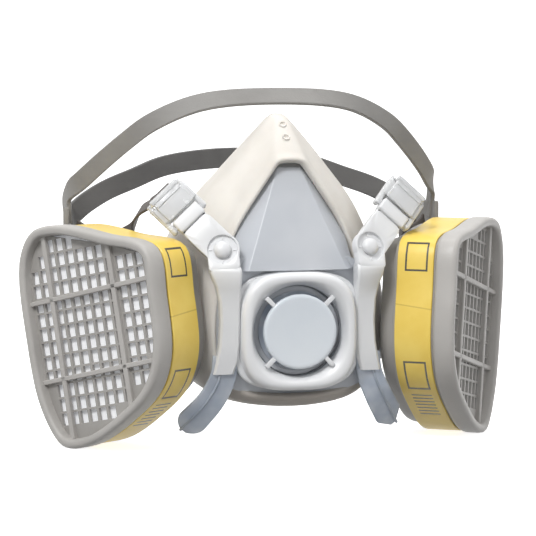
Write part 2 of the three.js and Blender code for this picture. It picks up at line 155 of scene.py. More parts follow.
class Shader:
    def __init__(self, name):
        self.material = bpy.data.materials.new(name)
        self.material.use_nodes = True
        self.tree = self.material.node_tree
        self.tree.nodes.clear()
        self.place = self.node("ShaderNodeTexCoord", output="Object")

    def node(self, kind, settings=None, inputs=None, output=0):
        made = self.tree.nodes.new(kind)
        for key, value in (settings or {}).items():
            setattr(made, key, value)
        for key, value in (inputs or {}).items():
            if isinstance(value, Wire):
                self.tree.links.new(value.socket, made.inputs[key])
            else:
                made.inputs[key].default_value = value
        return Wire(self, made.outputs[output])

    def noise(self, scale, detail=2, vector=None):
        inputs = {"Vector": vector or self.place, "Scale": scale, "Detail": detail}
        return self.node("ShaderNodeTexNoise", inputs=inputs)

    def stretched(self, scale):
        inputs = {0: self.place, 1: scale}
        return self.node("ShaderNodeVectorMath", {"operation": "MULTIPLY"}, inputs)

    def along(self, direction, start=0.0):
        # distance along a direction, in metres
        inputs = {0: self.place, 1: direction}
        return self.node("ShaderNodeVectorMath", {"operation": "DOT_PRODUCT"}, inputs, "Value") - start

    def ramp(self, value, low, high):
        inputs = {"Value": value, "From Min": low, "From Max": high}
        return self.node("ShaderNodeMapRange", {"interpolation_type": "SMOOTHSTEP"}, inputs)

    def mix(self, factor, first, second):
        return self.node("ShaderNodeMix", {"data_type": "RGBA"}, {0: factor, 6: first, 7: second}, 2)

    def bump(self, height, strength, distance=0.0002):
        return self.node("ShaderNodeBump", inputs={"Height": height, "Strength": strength, "Distance": distance})

    def finish(self, inputs):
        surface = self.node("ShaderNodeBsdfPrincipled", inputs=inputs)
        made = self.tree.nodes.new("ShaderNodeOutputMaterial")
        self.tree.links.new(surface.socket, made.inputs["Surface"])
        return self.material


def makeElastomer():
    # soft off-white rubber, faintly mottled, with painted shade making it greyer under the chin
    shader = Shader("elastomer")
    mottle = shader.ramp(shader.noise(55, 4), 0.3, 0.7)
    body = shader.mix(mottle, tint(222, 217, 209), tint(231, 227, 220))
    # painted shade: the colour turns grey-brown from 44 mm to 57 mm below the middle, standing in for the shade
    # under the chin
    chinPaintedShade = shader.ramp(shader.along((0, 0, -1)), 0.044, 0.057)
    colour = shader.mix(chinPaintedShade * 0.8, body, tint(160, 152, 144))
    fine = shader.noise(2600, 2)
    return shader.finish({
        "Base Color": colour, "Roughness": 0.5 + mottle * 0.08, "Specular IOR Level": 0.4,
        "Subsurface Weight": 0.05, "Subsurface Radius": (1, 0.7, 0.5), "Subsurface Scale": 0.002,
        "Normal": shader.bump(fine, 0.25)})


def makePlastic(name, colour, shade, roughness, grainScale=1800, grain=0.12, coat=0.0):
    # moulded plastic: slow colour drift, fine moulded grain
    shader = Shader(name)
    drift = shader.ramp(shader.noise(35, 3), 0.3, 0.7)
    scuff = shader.ramp(shader.noise(420, 5), 0.45, 0.75)
    return shader.finish({
        "Base Color": shader.mix(drift, colour, shade), "Roughness": roughness + scuff * 0.07,
        "Coat Weight": coat, "Coat Roughness": 0.2, "Specular IOR Level": 0.5,
        "Normal": shader.bump(shader.noise(grainScale, 2), grain)})


def makeClear(name, colour, roughness, transmission):
    # translucent plastic, slightly cloudy
    shader = Shader(name)
    cloud = shader.ramp(shader.noise(90, 2), 0.3, 0.75)
    return shader.finish({
        "Base Color": shader.mix(cloud * 0.5, colour, tint(250, 251, 252)),
        "Roughness": roughness + cloud * 0.08, "Transmission Weight": transmission, "IOR": 1.35,
        "Normal": shader.bump(shader.noise(260, 1), 0.06)})


def makeFeltWithPaintedGlow():
    # white non-woven filter felt: crossed fibres, and a faint bluish painted glow from emission
    shader = Shader("filterPad")
    fibres = shader.noise(900, 5, shader.stretched((1, 1, 0.25)))
    crossing = shader.noise(1100, 5, shader.stretched((0.25, 0.25, 1)))
    weave = fibres * 0.5 + crossing * 0.5
    return shader.finish({
        "Base Color": shader.mix(shader.ramp(weave, 0.38, 0.6), tint(246, 247, 249), tint(254, 254, 255)),
        # painted light: a faint bluish emission makes the felt glow brighter than its lighting
        "Roughness": 0.95, "Specular IOR Level": 0.1, "Emission Color": (0.9, 0.94, 1, 1),
        "Emission Strength": 0.14, "Normal": shader.bump(weave, 0.35)})


def makeGranules():
    # dark sorbent grains
    shader = Shader("sorbent")
    grains = shader.node("ShaderNodeTexVoronoi", inputs={"Vector": shader.place, "Scale": 800})
    return shader.finish({
        "Base Color": shader.mix(grains, tint(40, 38, 36), tint(14, 14, 14)),
        "Roughness": 0.85, "Normal": shader.bump(grains, 0.9, 0.0006)})


def makeHarness(name, colour, shade):
    # grey moulded rubber: fine grain, long faint streaks, dull smudges
    shader = Shader(name)
    smudge = shader.ramp(shader.noise(48, 4), 0.35, 0.7)
    streak = shader.noise(260, 4, shader.stretched((0.3, 0.3, 2.2)))
    return shader.finish({
        "Base Color": shader.mix(smudge * 0.6 + streak * 0.3, colour, shade),
        "Roughness": 0.5 + smudge * 0.16, "Specular IOR Level": 0.35,
        "Normal": shader.bump(shader.noise(1500, 3), 0.3)})


# metres; a box is its middle's height, half height and half width
labelPlan = {"boxes": ((0.002, 0.0056, 0.0046), (-0.0485, 0.0060, 0.0046)), "middle": 0.0175, "line": 0.0004,
             "innerWall": -0.012, "seam": {"height": -0.021, "slope": 0.12, "half": 0.00028},
             "rows": {"middle": -0.063, "height": 0.011, "halfWidth": 0.0045, "perMetre": 620, "inked": 0.38}}


def makeLabel(sideName):
    # yellow film label round the case: an overlap seam, two blank outlined boxes, plain lines
    side, plan = sides[sideName], labelPlan
    turn = Matrix.Rotation(side * cartridgePlan["turn"], 3, "Z")
    centre = Vector((side * cartridgePlan["centre"].x, cartridgePlan["centre"].y, 0)) * mm
    inward = turn @ Vector((0, 1, 0))
    shader = Shader(sideName + "Label")
    depth = shader.along(inward, inward.dot(centre))
    height = shader.along((0, 0, 1))
    across = turn @ Vector((1, 0, 0)) * side
    innerWall = shader.along(across, across.dot(centre)) < plan["innerWall"]
    ink = 0
    for middle, halfHeight, halfWidth in plan["boxes"]:
        edge = (abs(height - middle) - halfHeight).larger(abs(depth - plan["middle"]) - halfWidth)
        ink = (abs(edge) < plan["line"]) + ink
    rows, seam = plan["rows"], plan["seam"]
    nearHeight = abs(height - rows["middle"]) < rows["height"] / 2
    inRows = nearHeight * (abs(depth - plan["middle"]) < rows["halfWidth"])
    ink = ink + ((height * rows["perMetre"]) % 1 < rows["inked"]) * inRows
    seam = abs(height - seam["height"] - depth * seam["slope"]) < seam["half"]
    wear = shader.ramp(shader.noise(70, 4), 0.35, 0.75)
    yellow = shader.mix(wear, tint(238, 204, 84), tint(246, 216, 104))
    colour = shader.mix(ink * innerWall, yellow, tint(60, 56, 44))
    colour = shader.mix(seam * 0.45, colour, tint(180, 146, 46))
    return shader.finish({
        "Base Color": colour, "Roughness": 0.4 + wear * 0.1, "Coat Weight": 0.25, "Coat Roughness": 0.25,
        "Normal": shader.bump(seam * -1 + shader.noise(600, 2) * 0.3, 0.3)})


# the outline runs round the face from its inner side; grille sizes are across and up the face
cartridgePlan = {
    "centre": Vector((86.5, -37, -31)), "turn": math.radians(55), "width": 82, "depth": 34,
    "outline": ((8, 39.6), (33, 44), (60, 46.7), (74, 43), (81, 30), (76.6, -5), (68.5, -32), (56, -46.5),
                (41, -45), (22, -34), (6, -19.6), (0.4, -4), (3, 20)),
    "columns": 17, "rows": 19, "pitch": (5.5, 6.1), "hole": (3.7, 4.7), "lean": 0.2, "middle": (0.9, -1.2),
    "ribs": {"upright": (-17.2, 19.6), "level": (20, -14.6)}, "ribDepth": 3.7, "sheet": 1.2, "sheetDepth": 4.3,
    "trim": 3.9, "margin": 0.8,
}

looks = {
    "elastomer": makeElastomer(),
    "centreShell": makePlastic("centreShell", tint(189, 193, 199), tint(198, 201, 206), 0.36),
    "whitePlastic": makePlastic("whitePlastic", tint(231, 232, 234), tint(238, 239, 240), 0.32, coat=0.15),
    "yokePlastic": makePlastic("yokePlastic", tint(222, 223, 225), tint(230, 231, 232), 0.34, coat=0.1),
    "coverDisc": makePlastic("coverDisc", tint(222, 229, 236), tint(229, 235, 240), 0.3, coat=0.2),
    "casePlastic": makePlastic("casePlastic", tint(158, 155, 151), tint(168, 165, 161), 0.46, 1500, 0.3),
    # painted light: the rim and ribs use a lighter copy of the case plastic, standing in for the light their rounded
    # edges catch
    "rimPaintedLight": makePlastic("rimPaintedLight", tint(176, 173, 169), tint(186, 183, 179), 0.42, 1500, 0.3),
    "clearPlastic": makeClear("clearPlastic", tint(236, 237, 238), 0.2, 0.35),
    "tailFilm": makeClear("tailFilm", tint(178, 187, 200), 0.3, 0.3),
    "flapRubber": makeClear("flapRubber", tint(168, 178, 192), 0.4, 0.1),
    "filterPad": makeFeltWithPaintedGlow(),
    "sorbent": makeGranules(),
    "harness": makeHarness("harness", tint(138, 136, 133), tint(156, 154, 151)),
    # painted shade: the back band uses a darker copy of the harness rubber, standing in for the shade it sits in
    # behind the mask
    "backHarnessPaintedShade": makeHarness("backHarnessPaintedShade", tint(96, 95, 94), tint(112, 111, 110)),
    "strapRubber": makeHarness("strapRubber", tint(74, 68, 64), tint(96, 90, 86)),
    # painted shade: a near-black plastic put in slots and at the slit's ends, standing in for the shade inside the
    # holes
    "holePaintedShade": makePlastic("holePaintedShade", tint(40, 41, 44), tint(52, 53, 56), 0.7),
}
looks["leftLabel"] = makeLabel("left")
looks["rightLabel"] = makeLabel("right")
print("materials ready")

# lengths are millimetres until finishPiece scales them


def addLoop(bm, points):
    verts = [bm.verts.new(point) for point in points]
    return [bm.edges.new(pair) for pair in zip(verts, verts[1:] + verts[:1])]


def skin(bm, rings, caps=False, wrap=False):
    # bridges each ring of points to the next; caps fills both ends, wrap joins last to first
    loops = [addLoop(bm, ring) for ring in rings]
    for one, other in zip(loops, loops[1:] + (loops[:1] if wrap else [])):
        bmesh.ops.bridge_loops(bm, edges=one + other)
    if caps:
        for loop in (loops[0], loops[-1]):
            bmesh.ops.edgeloop_fill(bm, edges=loop)
    return loops


def curvePoints(knots, steps, closed=False):
    # points on a smooth curve through the knots; tighter where knots are close
    knots = [Vector(knot) for knot in knots]
    count = len(knots)
    points = []
    for index in range(count if closed else count - 1):
        here, after = knots[index], knots[(index + 1) % count]
        before = knots[index - 1] if index or closed else here * 2 - after
        beyond = knots[(index + 2) % count] if closed or index + 2 < count else after * 2 - here
        pairs = ((before, here), (here, after), (after, beyond))
        first, middle, last = (max(math.sqrt((b - a).length), 1e-6) for a, b in pairs)
        leave = (here - before) / first - (after - before) / (first + middle) + (after - here) / middle
        arrive = (after - here) / middle - (beyond - here) / (middle + last) + (beyond - after) / last
        reach = middle / 3
        piece = interpolate_bezier(here, here + leave * reach, after - arrive * reach, after, steps + 1)
        points += [Vector(point) for point in piece[:-1]]
    return points if closed else points + [knots[-1]]


def insetRing(points, inset):
    # a loop in a plane of constant y, each point moved sideways
    ring = []
    for index, point in enumerate(points):
        ahead = points[(index + 1) % len(points)] - points[index - 1]
        ring.append(point + Vector((ahead.z, 0, -ahead.x)).normalized() * inset)
    return ring


def roundedSection(width, thickness, corner=0.35):
    # an eight-point flat section, as pairs across and through
    w, t, c = width / 2, thickness / 2, min(corner, thickness / 2.2)
    return [(w, t - c), (w - c, t), (c - w, t), (-w, t - c), (-w, c - t), (c - w, -t), (w - c, -t), (w, c - t)]


def sweepBand(bm, knots, widths, width, thickness, steps=5, taper=None):
    # a flat band along the knots; widths are directions, taper scales the width along the way
    centres = curvePoints(knots, steps)
    leans = curvePoints(widths, steps)
    rings = []
    for index, (centre, lean) in enumerate(zip(centres, leans)):
        ahead = centres[min(index + 1, len(centres) - 1)] - centres[max(index - 1, 0)]
        ahead.normalize()
        across = (lean - ahead * lean.dot(ahead)).normalized()
        through = ahead.cross(across)
        share = taper(index / (len(centres) - 1)) if taper else 1
        rings.append([centre + across * a * share + through * t for a, t in roundedSection(width, thickness)])
    skin(bm, rings, caps=True)


def addBlock(bm, low, high, bevel, segments, place):
    # a rounded box between two corners, then moved by place
    made = bmesh.ops.create_cube(bm, size=1)["verts"]
    size = Vector(high) - Vector(low)
    bmesh.ops.scale(bm, vec=size, verts=made)
    bmesh.ops.translate(bm, vec=(Vector(high) + Vector(low)) / 2, verts=made)
    edges = list({edge for vert in made for edge in vert.link_edges})
    result = bmesh.ops.bevel(bm, geom=edges, offset=bevel, segments=segments, profile=0.5, affect="EDGES",
                             material=-1, clamp_overlap=True)
    made = list(set(result["verts"]) | {vert for vert in made if vert.is_valid})
    bmesh.ops.transform(bm, matrix=place, verts=made)


def turnProfile(bm, profile, steps, place):
    # spins (radius, y) points about the Y axis, then moves them by place
    verts = [bm.verts.new((radius, y, 0)) for radius, y in profile]
    edges = [bm.edges.new(pair) for pair in zip(verts, verts[1:])]
    before = set(bm.verts) - set(verts)
    bmesh.ops.spin(bm, geom=verts + edges, cent=(0, 0, 0), axis=(0, 1, 0), angle=math.tau, steps=steps,
                   use_merge=True)
    made = [vert for vert in bm.verts if vert not in before]
    bmesh.ops.remove_doubles(bm, verts=made, dist=0.0005)
    bmesh.ops.transform(bm, matrix=place, verts=[vert for vert in made if vert.is_valid])


def meshObject(name, bm):
    mesh = bpy.data.meshes.new(name)
    bm.to_mesh(mesh)
    bm.free()
    made = bpy.data.objects.new(name, mesh)
    bpy.context.scene.collection.objects.link(made)
    return made


def finishPiece(name, bm, look, replaces=(), body="root", wall=0, levels=0, bevel=0, sharp=38):
    # body None leaves the piece unattached to any body
    bmesh.ops.remove_doubles(bm, verts=bm.verts, dist=0.001)
    bmesh.ops.recalc_face_normals(bm, faces=bm.faces)
    bmesh.ops.scale(bm, vec=(mm, mm, mm), verts=bm.verts)
    piece = meshObject(name, bm)
    mesh = piece.data
    mesh.materials.append(looks[look])
    mesh.polygons.foreach_set("use_smooth", [True] * len(mesh.polygons))
    if wall:
        thick = piece.modifiers.new("wall", "SOLIDIFY")
        thick.thickness = wall * mm
        thick.offset = -1
        thick.use_even_offset = True
    if bevel:
        edge = piece.modifiers.new("edges", "BEVEL")
        edge.width = bevel * mm
        edge.segments = 3
        edge.limit_method = "ANGLE"
        edge.angle_limit = math.radians(30)
    if levels:
        smooth = piece.modifiers.new("smooth", "SUBSURF")
        smooth.levels = levels
        smooth.render_levels = levels
    elif not bevel:
        mesh.set_sharp_from_angle(angle=math.radians(sharp))
    if body:
        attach(piece, body)
    if replaces:
        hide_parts(*replaces)
    print("made", name)
    return piece

# rows run from the window's edge back to the seal, and each row from nose to chin

facepiecePlan = {
    "rows": (
        ((0, -40.5, 41.4), (4.4, -40.5, 41.0), (5.4, -40.5, 39.6), (9.4, -40.5, 33.7), (15.7, -40.5, 24.6),
         (23.3, -40.6, 13.0), (30.0, -42, -6), (33, -43.5, -34), (29, -45, -51), (14, -46.8, -54.2),
         (0, -47.5, -54.8)),
        ((0, -44.3, 42.3), (5.0, -44.3, 41.9), (6.2, -44.3, 40.0), (10.2, -44.2, 34.1), (16.5, -44.1, 25.0),
         (24.2, -44, 13.4), (30.8, -44.8, -6), (34, -45.8, -34), (30.2, -47.2, -51.6), (14.5, -50.6, -54.9),
         (0, -51.6, -55.5)),
        ((0, -44.7, 44.2), (6.2, -44.6, 43.7), (7.8, -44.2, 41.1), (11.7, -43.9, 35.2), (18.0, -43.7, 26.1),
         (25.8, -43.5, 14.5), (32.5, -44.2, -6), (35.8, -45.4, -34), (31.8, -46.8, -53.2), (15, -50.8, -56.6),
         (0, -51.8, -57.3)),
        ((0, -42.0, 45.5), (6.2, -41.6, 45.1), (8.3, -40.6, 42.6), (12.6, -40.4, 36.1), (18.9, -40.3, 27.0),
         (26.8, -40.2, 15.2), (34, -42.0, -6), (37.2, -44, -34), (32.6, -45.4, -54.6), (15.6, -49.4, -58.0),
         (0, -50.6, -59.0)),
        ((0, -38.4, 50.0), (5.0, -38.2, 49.7), (7.4, -37.4, 47.6), (14.6, -38.9, 39.6), (21.4, -38.9, 30.2),
         (30.0, -38.6, 17.8), (37.4, -39.4, -6), (41.2, -41, -34), (34.8, -43, -55.6), (16.2, -47.4, -60.0),
         (0, -48.8, -61.0)),
        ((0, -33.4, 55.2), (4.0, -33.2, 54.9), (6.2, -31.6, 53.0), (15.2, -32.6, 43.6), (23.6, -32.0, 32.8),
         (33.6, -31.4, 20.4), (43.2, -31, -8), (46.0, -31.5, -36), (36.4, -37, -56.4), (17, -42, -60.8),
         (0, -43.4, -61.5)),
        ((0, -27.4, 60.6), (3.0, -27.2, 60.3), (4.9, -25.6, 58.8), (13.6, -26.6, 49.4), (23.4, -24.6, 37),
         (36.0, -22, 22.6), (48.8, -19, -10), (50, -20, -36), (36, -29, -56.6), (17.5, -34.5, -60.8),
         (0, -36, -61.5)),
        ((0, -20.6, 63.2), (2.6, -20.2, 62.8), (5.0, -18.8, 60.4), (14.2, -15.6, 49.6), (25.6, -11, 36),
         (40, -7.5, 21), (52.6, -3, -12), (51.6, -5.5, -37), (35.4, -17.5, -56.2), (17, -23.5, -60.4),
         (0, -25, -61.1)),
        ((0, -14.6, 59.4), (2.6, -14, 58.8), (5.4, -12.6, 55), (15.6, -7, 44), (28.0, 0.6, 29), (41.6, 6.6, 12.6),
         (51.4, 11, -13), (48.8, 8.4, -36), (33.5, -3.8, -53.4), (16.5, -8.8, -57.6), (0, -10.4, -58.6)),
        ((0, -13.4, 54.8), (2.2, -13, 54), (4.4, -12, 51), (12.6, -7, 41), (23.5, 0, 27), (35, 5, 11.4),
         (43, 8, -13), (40.5, 5.8, -33), (27, -4.8, -46.4), (13, -8.6, -50.6), (0, -10, -51.4))),
    "wall": 2.0, "portRadius": 14.2, "portShift": -10, "portReach": (-2, 24),
    "marks": ((-36.3, 52.2), (-30.9, 57.4)), "markTurn": -42,
    "mark": ((1.0, -0.1), (1.2, -0.42), (1.45, -0.45), (1.7, -0.1)),
}


def mirroredRow(half):
    return [Vector(p) for p in half] + [Vector((-x, y, z)) for x, y, z in reversed(half[1:-1])]


def cartridgePlace(side):
    # local -Y is the cartridge's face; X runs outward from its middle
    centre = cartridgePlan["centre"]
    place = Matrix.Translation((side * centre.x, centre.y, centre.z)) @ Matrix.Rotation(
        side * cartridgePlan["turn"], 4, "Z")
    return place @ Matrix.Diagonal((side, 1, 1, 1))


def settle(piece):
    # makes the piece's modifiers part of its mesh
    bpy.context.view_layer.update()
    evaluated = piece.evaluated_get(bpy.context.evaluated_depsgraph_get())
    mesh = bpy.data.meshes.new_from_object(evaluated)
    piece.modifiers.clear()
    old = piece.data
    piece.data = mesh
    bpy.data.meshes.remove(old)


def boreHoles(piece, name, radius, spans):
    # cuts a round hole along each (place, from y, to y)
    cutters = []
    for place, start, stop in spans:
        bm = bmesh.new()
        turnProfile(bm, [(0, start), (radius, start), (radius, stop), (0, stop)], 48, place)
        bmesh.ops.recalc_face_normals(bm, faces=bm.faces)
        bmesh.ops.scale(bm, vec=(mm, mm, mm), verts=bm.verts)
        cutter = meshObject(name, bm)
        hole = piece.modifiers.new(name, "BOOLEAN")
        hole.operation = "DIFFERENCE"
        hole.solver = "EXACT"
        hole.object = cutter
        cutters.append(cutter)
    settle(piece)
    for cutter in cutters:
        bpy.data.objects.remove(cutter)


def buildFacepiece(plan):
    bm = bmesh.new()
    skin(bm, [mirroredRow(row) for row in plan["rows"]])
    piece = finishPiece("facepieceSkin", bm, "elastomer", ["facepiece"], wall=plan["wall"], levels=3)
    spans = []
    for side in sides.values():
        place = cartridgePlace(side) @ Matrix.Translation((plan["portShift"], 0, 0))
        start, stop = plan["portReach"]
        spans.append((place, cartridgePlan["depth"] + start, cartridgePlan["depth"] + stop))
    boreHoles(piece, "portHole", plan["portRadius"], spans)
    piece.data.set_sharp_from_angle(angle=math.radians(45))
    bm = bmesh.new()
    for y, z in plan["marks"]:
        ring = Matrix.Translation((0, y, z)) @ Matrix.Rotation(math.radians(plan["markTurn"]), 4, "X")
        turnProfile(bm, plan["mark"], 24, ring)
    finishPiece("noseMarks", bm, "elastomer")


buildFacepiece(facepiecePlan)

# nose panel and valve plate

valveHeight = -28
panelPlan = {
    "top": 39.8, "foot": -2.7, "topHalf": 4.9, "footHalf": 21.4, "topFront": -40.4, "footFront": -55.6,
    "plate": ((26, 0, 1.5), (32.4, 0, -10), (33.6, 0, -24), (33.4, 0, -38), (31, 1.6, -49.5), (15, 3.4, -55.4)),
    "plateFront": -51.2, "plateBack": -48.9, "plateBores": (19.1, 16.9), "plateStep": 0.8,
    "facet": (1.4, 8), "facetFoot": 4.6, "facetSlope": 1.05,
}


def buildCentreShell(plan):
    bm = bmesh.new()
    front, facet, back = [], [], []
    for share in (0, 0.35, 0.7, 1):
        z = plan["top"] + (plan["foot"] - plan["top"]) * share
        half = plan["topHalf"] + (plan["footHalf"] - plan["topHalf"]) * share
        y = plan["topFront"] + (plan["footFront"] - plan["topFront"]) * share
        narrow, wide = plan["facet"]
        reach = plan["facetFoot"] if share == 1 else narrow + (wide - narrow) * min(share / 0.5, 1)
        edge = y + reach * plan["facetSlope"]
        front.append((half, y, z))
        facet.append((half + reach, edge, z))
        back.append((half + reach - 0.3, max(edge, -45) + 4, z + (2.4 if share == 0 else 0)))
    for ring in (front, facet, back):
        ring += [(-x, y, z) for x, y, z in reversed(ring)]
    loops = skin(bm, [back, facet, front])
    bmesh.ops.edgeloop_fill(bm, edges=loops[-1])
    finishPiece("nosePanel", bm, "centreShell", ["centre_shell"], wall=2, bevel=0.45)
    bm = bmesh.new()
    # the plate's foot steps back, so the groove under the valve ring stays dark; its bore narrows at the back
    front, back, ledge = plan["plateFront"], plan["plateBack"], plan["plateBack"] - plan["plateStep"]
    knots = plan["plate"]
    mirroredKnots = [(-x, y, z) for x, y, z in reversed(knots)]
    outer = curvePoints([(12, 0, 2), *knots, (0, 3.6, -56.2), *mirroredKnots, (-12, 0, 2)], 5, closed=True)
    middle = Vector((0, 0, valveHeight))
    rays = [Vector((point.x, 0, point.z - valveHeight)).normalized() for point in outer]
    bore, step = ([middle + ray * radius for ray in rays] for radius in plan["plateBores"])
    skin(bm, [[point + Vector((0, y, 0)) for point in ring] for ring, y in
              ((bore, front), (outer, front), (outer, back), (step, back), (step, ledge), (bore, ledge))], wrap=True)
    finishPiece("valvePlate", bm, "centreShell")


buildCentreShell(panelPlan)

# valve cover with its disc on four spokes

coverPlan = {"half": 24.75, "squareness": 3.2, "bore": 19.2, "front": -60, "disc": 15.7, "spoke": 1.9,
             "steps": 96}


def squircleRing(half, power, y, count, roundness=0.0):
    # a rounded square round the valve; roundness 1 is a circle of the same half size
    ring = []
    for index in range(count):
        angle = math.tau * index / count
        c, s = math.cos(angle), math.sin(angle)
        square = (abs(c) ** power + abs(s) ** power) ** (-1 / power)
        radius = half * (square * (1 - roundness) + roundness)
        ring.append((radius * c, y, valveHeight + radius * s))
    return ring


def buildValveCover(plan):
    bm = bmesh.new()
    front, count, power = plan["front"], plan["steps"], plan["squareness"]
    rows = ((-0.4, 6, 0), (0, 5.4, 0), (0, 2.6, 0), (0.35, 1.25, 0), (1.1, 0.4, 0), (2.2, 0, 0), (3.3, 0.1, 0.15),
            (3.9, 0.5, 0.35))
    rings = [squircleRing(plan["half"] - inset, power, front + depth, count, roundness)
             for inset, depth, roundness in rows]
    bore = plan["bore"]
    rings += [squircleRing(radius, power, front + depth, count, 1)
              for radius, depth in ((bore + 0.7, 3.2), (bore + 0.1, 4.6), (bore, 5.2), (bore, 6))]
    skin(bm, rings, wrap=True)
    place = Matrix.Translation((0, 0, valveHeight))
    for quarter in range(4):
        turn = place @ Matrix.Rotation(math.radians(45 + 90 * quarter), 4, "Y")
        addBlock(bm, (plan["disc"] - 2, front + 0.75, -plan["spoke"] / 2),
                 (bore + 1.3, front + 2.5, plan["spoke"] / 2), 0.3, 2, turn)
    finishPiece("valveCover", bm, "whitePlastic", ["valve_cover"])
    bm = bmesh.new()
    r = plan["disc"]
    turnProfile(bm, [(0, front + 0.42), (r - 2.4, front + 0.38), (r - 1.5, front + 0.3), (r - 0.5, front + 0.42),
                     (r - 0.1, front + 0.75), (r, front + 1.2), (r, front + 2.4), (0, front + 2.5)], count, place)
    finishPiece("coverDisc", bm, "coverDisc", sharp=50)


buildValveCover(coverPlan)


flapPlan = ((0, -53.05), (2.4, -53.1), (3.2, -52.9), (15.4, -52.75), (16.5, -52.85), (16.6, -52.6), (16.2, -52.4),
            (3, -52.35), (1.4, -52.3), (1.35, -46.6), (2.2, -46.2), (1.3, -44.5), (0, -44.4))


def buildExhalationFlap(profile):
    # thin dished flap with a pull-through stem, on its body
    place = Matrix.Translation((0, 0, valveHeight))
    bm = bmesh.new()
    turnProfile(bm, profile, 64, place)
    finishPiece("exhalationFlap", bm, "flapRubber", ["exhalation_flap"], body="exhaust_flap")


buildExhalationFlap(flapPlan)
print("valve ready")

# backing ring, arms, elbows and tails; an arm station is height, inner, outer, front and lean

yokePlan = {
    "elbow": Vector((31.6, -52, 6)), "up": Vector((0.25, -0.9, 0.35)), "along": Vector((0.63, 0.43, 0.66)),
    "ring": ((27.4, -51.6), (27.9, -52.1), (27.9, -53.3), (27.4, -53.8), (20.6, -53.8), (20.6, -51.6)),
    "armStations": ((1.2, 26, 37, -54.2, 0.28), (-0.6, 25.3, 37.8, -57, 0.28), (-1.5, 25.1, 37.8, -57.8, 0.28),
                    (-2.8, 25, 37.6, -58.2, 0.28), (-5.5, 25, 36.7, -58.4, 0.24), (-9, 25, 35.2, -57.7, 0.14),
                    (-15, 25, 33.9, -56.7, 0.03), (-24, 25, 33.4, -56.4, 0), (-33, 25.2, 33.9, -56.3, 0),
                    (-40, 25.9, 35.2, -56.1, 0), (-45.4, 27.6, 36.4, -55.4, 0)),
    "armBack": -51.6,
    "boss": 7.2, "pocket": 6.3, "face": -2.5, "floor": -1.05, "half": 6.9, "plateEnd": 16.4,
    "armEnd": 9, "armHalf": 6.6, "outlineSteps": 180, "slit": (12, 19), "rolledEnd": (16.8, 23),
    "dots": (16.7, 5.6), "tailWidth": 12.4, "tailThickness": 1.5,
    "tail": (((31, -53.4, -38), (32, -53.4, -47), (36.2, -51.6, -56), (42, -46, -64.5), (46, -41, -70)),
             ((1, 0, 0.1), (1, 0, 0.2), (0.93, 0, 0.36), (0.88, 0.1, 0.45), (0.86, 0.1, 0.5))),
}


def elbowPlace(side):
    # local x runs up the arm, y into it, z across it
    up = yokePlan["up"].normalized()
    along = yokePlan["along"] - up * yokePlan["along"].dot(up)
    along.normalize()
    place = Matrix((along, -up, along.cross(-up))).transposed().to_4x4()
    place.translation = yokePlan["elbow"]
    return Matrix.Diagonal((side, 1, 1, 1)) @ place


def elbowOutline(plan, inset):
    # radii round the pocket, taking in the plate and the top of the arm
    drop = elbowPlace(1).to_3x3().inverted() @ Vector((-0.12, 0, -1))
    reaches = ((0, plan["plateEnd"], plan["half"]), (math.atan2(drop.z, drop.x), plan["armEnd"], plan["armHalf"]))
    points = []
    for step in range(plan["outlineSteps"]):
        turn = math.tau * step / plan["outlineSteps"]
        radius = plan["boss"]
        for heading, length, half in reaches:
            ahead, beside = math.cos(turn - heading), abs(math.sin(turn - heading))
            if ahead > 0.01:
                radius = max(radius, ((length / ahead) ** -12 + (half / max(beside, 0.001)) ** -12) ** (-1 / 12))
        points.append(((radius - inset) * math.cos(turn), (radius - inset) * math.sin(turn)))
    return points


def buildUpperArm(bm, plan, place):
    # one plate from the arm to the hinge with a round pocket, a narrow slit, and a rolled end
    face, floor, half, pocket = plan["face"], plan["floor"], plan["half"], plan["pocket"]
    rings = [[place @ Vector((u, depth, w)) for u, w in elbowOutline(plan, inset)]
             for inset, depth in ((0.3, 1.4), (0, 1.1), (0, face + 0.6), (0.15, face + 0.15), (0.5, face))]
    turns = [math.tau * step / plan["outlineSteps"] for step in range(plan["outlineSteps"])]
    for radius, depth in ((pocket + 0.3, face), (pocket + 0.05, face + 0.1), (pocket, face + 0.35),
                          (pocket - 0.15, floor)):
        circle = [(radius * math.cos(turn), radius * math.sin(turn)) for turn in turns]
        rings.append([place @ Vector((u, depth, w)) for u, w in circle])
    skin(bm, rings, caps=True)
    near, far = plan["slit"]
    addBlock(bm, (near, -1.5, 0.4 - half), (far, 1.2, half - 0.4), 0.2, 2, place)
    near, far = plan["rolledEnd"]
    addBlock(bm, (near, -3.5, -half), (far, 1.5, half), 1.0, 4, place)
    for turn in range(4):
        spot = place @ Matrix.Rotation(math.radians(45 + 90 * turn), 4, "Y")
        addBlock(bm, (4.4, floor - 0.35, -0.28), (5.9, floor + 0.2, 0.28), 0.12, 2, spot)


